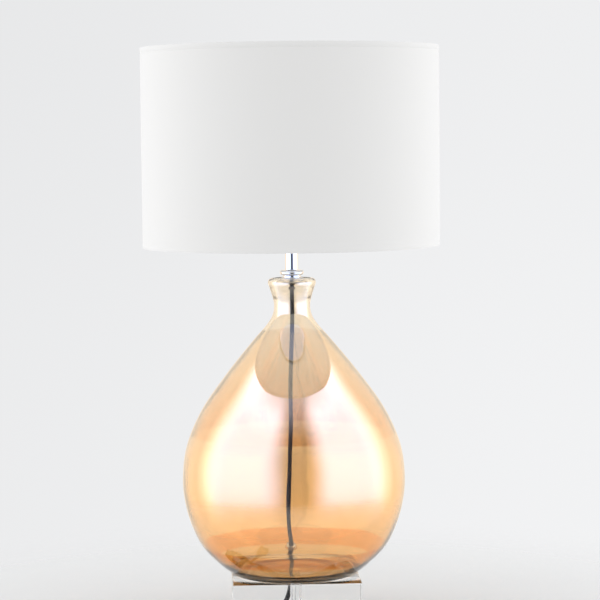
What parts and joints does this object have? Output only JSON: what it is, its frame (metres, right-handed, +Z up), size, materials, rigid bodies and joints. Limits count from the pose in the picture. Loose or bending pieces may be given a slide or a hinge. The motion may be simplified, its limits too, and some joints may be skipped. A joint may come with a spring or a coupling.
{
  "type": "table lamp with shade",
  "caption": "Table lamp with a white linen drum shade on a chrome stem, over an amber lustre blown glass teardrop body that stands on a clear square plinth.",
  "frame": {"origin": "on the lamp's axis, at the height of the surface it stands on", "axes": "+Z up the lamp's axis, -Y to the front, +Y to the side where the flex leaves"},
  "size_m": [0.35, 0.35, 0.6825],
  "materials": {
    "amber_glass": "polished, part-mirrored amber lustre",
    "clear_acrylic": "polished clear acrylic",
    "clear_soft_plastic": "clear soft plastic",
    "chrome": "polished chrome plate",
    "zinc_steel": "zinc plated",
    "brass": "satin",
    "white_plastic": "moulded, satin",
    "white_enamel": "white powder coat",
    "white_linen": "fine plain weave linen",
    "black_sheath": "flexible PVC, satin",
    "brown_plastic": "moulded, satin",
    "opal_glass": "opal white"
  },
  "bodies": {
    "base": {"plinth_block": "clear_acrylic", "plinth_bumper_1": "clear_soft_plastic", "plinth_bumper_2": "clear_soft_plastic", "plinth_bumper_3": "clear_soft_plastic", "plinth_bumper_4": "clear_soft_plastic", "foot_bond": "clear_soft_plastic", "glass_body": "amber_glass", "flex_grommet": "clear_soft_plastic", "vase_cap": "chrome", "cap_gasket": "clear_soft_plastic", "rod_washer": "zinc_steel", "rod_nut": "zinc_steel", "flange_ring": "chrome", "stem_tube": "chrome", "threaded_rod": "zinc_steel", "flex_bush": "brown_plastic", "holder_cap": "white_plastic", "holder_shell": "white_plastic", "insulating_core": "white_plastic", "screw_shell": "brass", "centre_contact": "brass", "terminal_screw_1": "brass", "terminal_screw_2": "brass", "terminal_wire_1": "brown_plastic", "terminal_wire_2": "brown_plastic", "flex_inner": "black_sheath", "flex_outer": "black_sheath", "flex_coil": "black_sheath", "coil_tie": "black_sheath", "flex_tail": "black_sheath", "plug_relief": "black_sheath", "plug_body": "black_sheath", "plug_pin_1": "brass", "plug_pin_2": "brass"},
    "shade": {"shade_skin": "white_linen", "shade_liner": "white_plastic", "top_hem": "white_linen", "bottom_hem": "white_linen", "top_wire": "white_enamel", "bottom_wire": "white_enamel", "joint_tape": "white_plastic", "fitter_ring": "white_enamel", "spider_arm_1": "white_enamel", "spider_arm_2": "white_enamel", "spider_arm_3": "white_enamel"},
    "retaining_ring": {"shade_ring": "white_plastic"},
    "bulb": {"bulb_envelope": "opal_glass", "bulb_cap": "zinc_steel", "bulb_contact": "brass"},
    "switch": {"switch_bar": "white_plastic"}
  },
  "joints": [
    {"name": "shade_lift", "type": "slide", "parent": "base", "child": "shade", "axis": [0, 0, 1], "range_m": [0, 0.13]},
    {"name": "shade_ring_turn", "type": "hinge", "parent": "shade", "child": "retaining_ring", "pos_m": [0, 0, 0.485], "axis": [0, 0, 1], "continuous": true},
    {"name": "bulb_lift", "type": "slide", "parent": "base", "child": "bulb", "axis": [0, 0, 1], "range_m": [0, 0.1]},
    {"name": "switch_bar_travel", "type": "slide", "parent": "base", "child": "switch", "axis": [1, 0, 0], "range_m": [-0.006, 0]}
  ]
}
